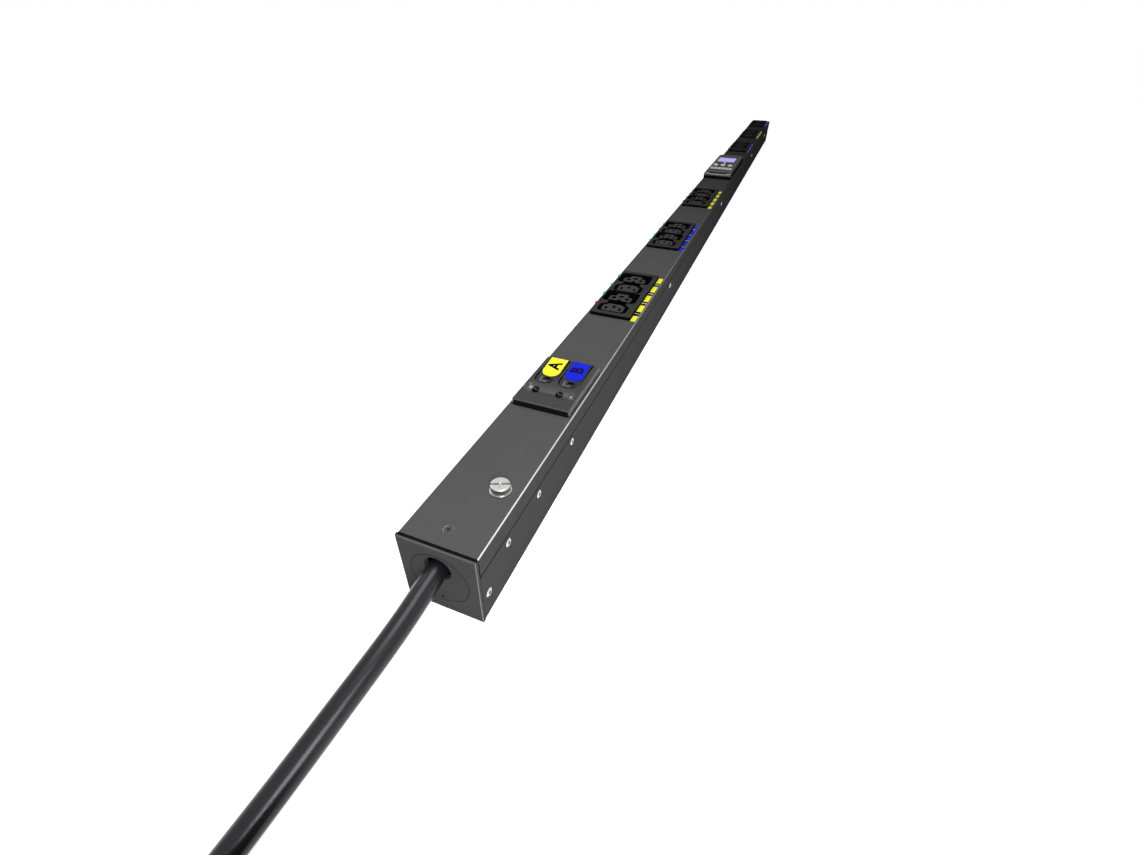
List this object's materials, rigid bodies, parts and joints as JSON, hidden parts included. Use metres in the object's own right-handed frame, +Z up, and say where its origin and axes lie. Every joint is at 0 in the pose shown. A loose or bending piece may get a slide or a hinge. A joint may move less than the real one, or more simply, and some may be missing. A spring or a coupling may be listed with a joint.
{
  "type": "rack power distribution unit",
  "caption": "Long steel-cased power strip for a rack, with grouped outlets, coloured circuit labels, two breaker rockers, a display module and a coiled supply cord",
  "frame": {"origin": "bottom centre of the housing, on the surface the unit lies on", "axes": "+Y runs along the housing away from the supply cord, +Z is up out of the outlets, +X is to the right seen from the cord end"},
  "size_m": [0.1704, 2.252, 0.0665],
  "materials": {
    "housing_paint": "fine-textured satin powder coat",
    "disc_plastic": "satin",
    "black_rubber": "satin",
    "black_nylon": "matte",
    "blade_brass": "satin",
    "bezel_plastic": "satin",
    "rocker_plastic": "satin",
    "case_plastic": "matte",
    "yellow_print": "satin print",
    "blue_print": "satin print",
    "outlet_plastic": "satin",
    "lens_plastic": "clear, lit",
    "light_plastic": "clear, lit",
    "brass_contact": "bright",
    "copper_bar": "plain",
    "board_green": "satin",
    "relay_plastic": "matte",
    "carrier_plastic": "matte",
    "liner_film": "matte",
    "display_plastic": "satin",
    "face_film": "satin film",
    "screen_lens": "clear",
    "screen_panel": "lit",
    "key_plastic": "satin",
    "port_metal": "bright",
    "zinc_steel": "bright zinc",
    "black_steel": "black oxide",
    "wire_insulation": "satin"
  },
  "bodies": {
    "housing": {"rear_channel": "housing_paint", "front_cover": "housing_paint", "cord_end_cap": "housing_paint", "far_end_cap": "housing_paint", "cord_entry_disc": "disc_plastic", "cord_gland": "black_rubber", "supply_cord": "black_rubber", "supply_cord_coil": "black_rubber", "supply_cord_tail": "black_rubber", "plug_body": "black_rubber", "cable_clamp": "black_nylon", "plug_blades": "blade_brass", "breaker_bezel": "bezel_plastic", "breaker_case_a": "case_plastic", "breaker_case_b": "case_plastic", "terminal_block": "case_plastic", "yellow_outlet_labels": "yellow_print", "blue_outlet_labels": "blue_print", "outlet_housing_1": "outlet_plastic", "outlet_core_1": "outlet_plastic", "outlet_housing_2": "outlet_plastic", "outlet_core_2": "outlet_plastic", "outlet_housing_3": "outlet_plastic", "outlet_core_3": "outlet_plastic", "outlet_housing_4": "outlet_plastic", "outlet_core_4": "outlet_plastic", "outlet_housing_5": "outlet_plastic", "outlet_core_5": "outlet_plastic", "outlet_housing_6": "outlet_plastic", "outlet_core_6": "outlet_plastic", "status_lenses": "lens_plastic", "display_light": "light_plastic", "line_contacts": "brass_contact", "neutral_contacts": "brass_contact", "earth_contacts": "brass_contact", "feed_busbars": "copper_bar", "outlet_boards": "board_green", "display_board": "board_green", "outlet_relays": "relay_plastic", "board_carriers": "carrier_plastic", "insulation_liner": "liner_film", "internal_wires": "wire_insulation", "display_housing": "display_plastic", "display_face": "face_film", "screen_lens": "screen_lens", "screen_panel": "screen_panel", "display_ports": "port_metal", "earth_screw": "zinc_steel", "earth_nut": "zinc_steel", "mounting_nuts": "zinc_steel", "cover_screws": "black_steel", "side_rivets": "black_steel"},
    "breaker_switch_a": {"breaker_rocker_a": "rocker_plastic", "circuit_badge_a": "yellow_print"},
    "breaker_switch_b": {"breaker_rocker_b": "rocker_plastic", "circuit_badge_b": "blue_print"},
    "button_up_key": {"button_up": "key_plastic"},
    "button_select_key": {"button_select": "key_plastic"},
    "button_down_key": {"button_down": "key_plastic"}
  },
  "joints": [
    {"name": "breaker_switch_a", "type": "hinge", "parent": "housing", "child": "breaker_switch_a", "pos_m": [-0.0102, -0.72985, 0.05685], "axis": [1, 0, 0], "range_deg": [-9, 0]},
    {"name": "breaker_switch_b", "type": "hinge", "parent": "housing", "child": "breaker_switch_b", "pos_m": [0.0096, -0.72985, 0.05685], "axis": [1, 0, 0], "range_deg": [-9, 0]},
    {"name": "button_up_press", "type": "slide", "parent": "housing", "child": "button_up_key", "axis": [0, 0, -1], "range_m": [0, 0.0008], "stiffness_N_per_m": 1500, "springref_m": -0.0005},
    {"name": "button_select_press", "type": "slide", "parent": "housing", "child": "button_select_key", "axis": [0, 0, -1], "range_m": [0, 0.0008], "stiffness_N_per_m": 1500, "springref_m": -0.0005},
    {"name": "button_down_press", "type": "slide", "parent": "housing", "child": "button_down_key", "axis": [0, 0, -1], "range_m": [0, 0.0008], "stiffness_N_per_m": 1500, "springref_m": -0.0005}
  ]
}
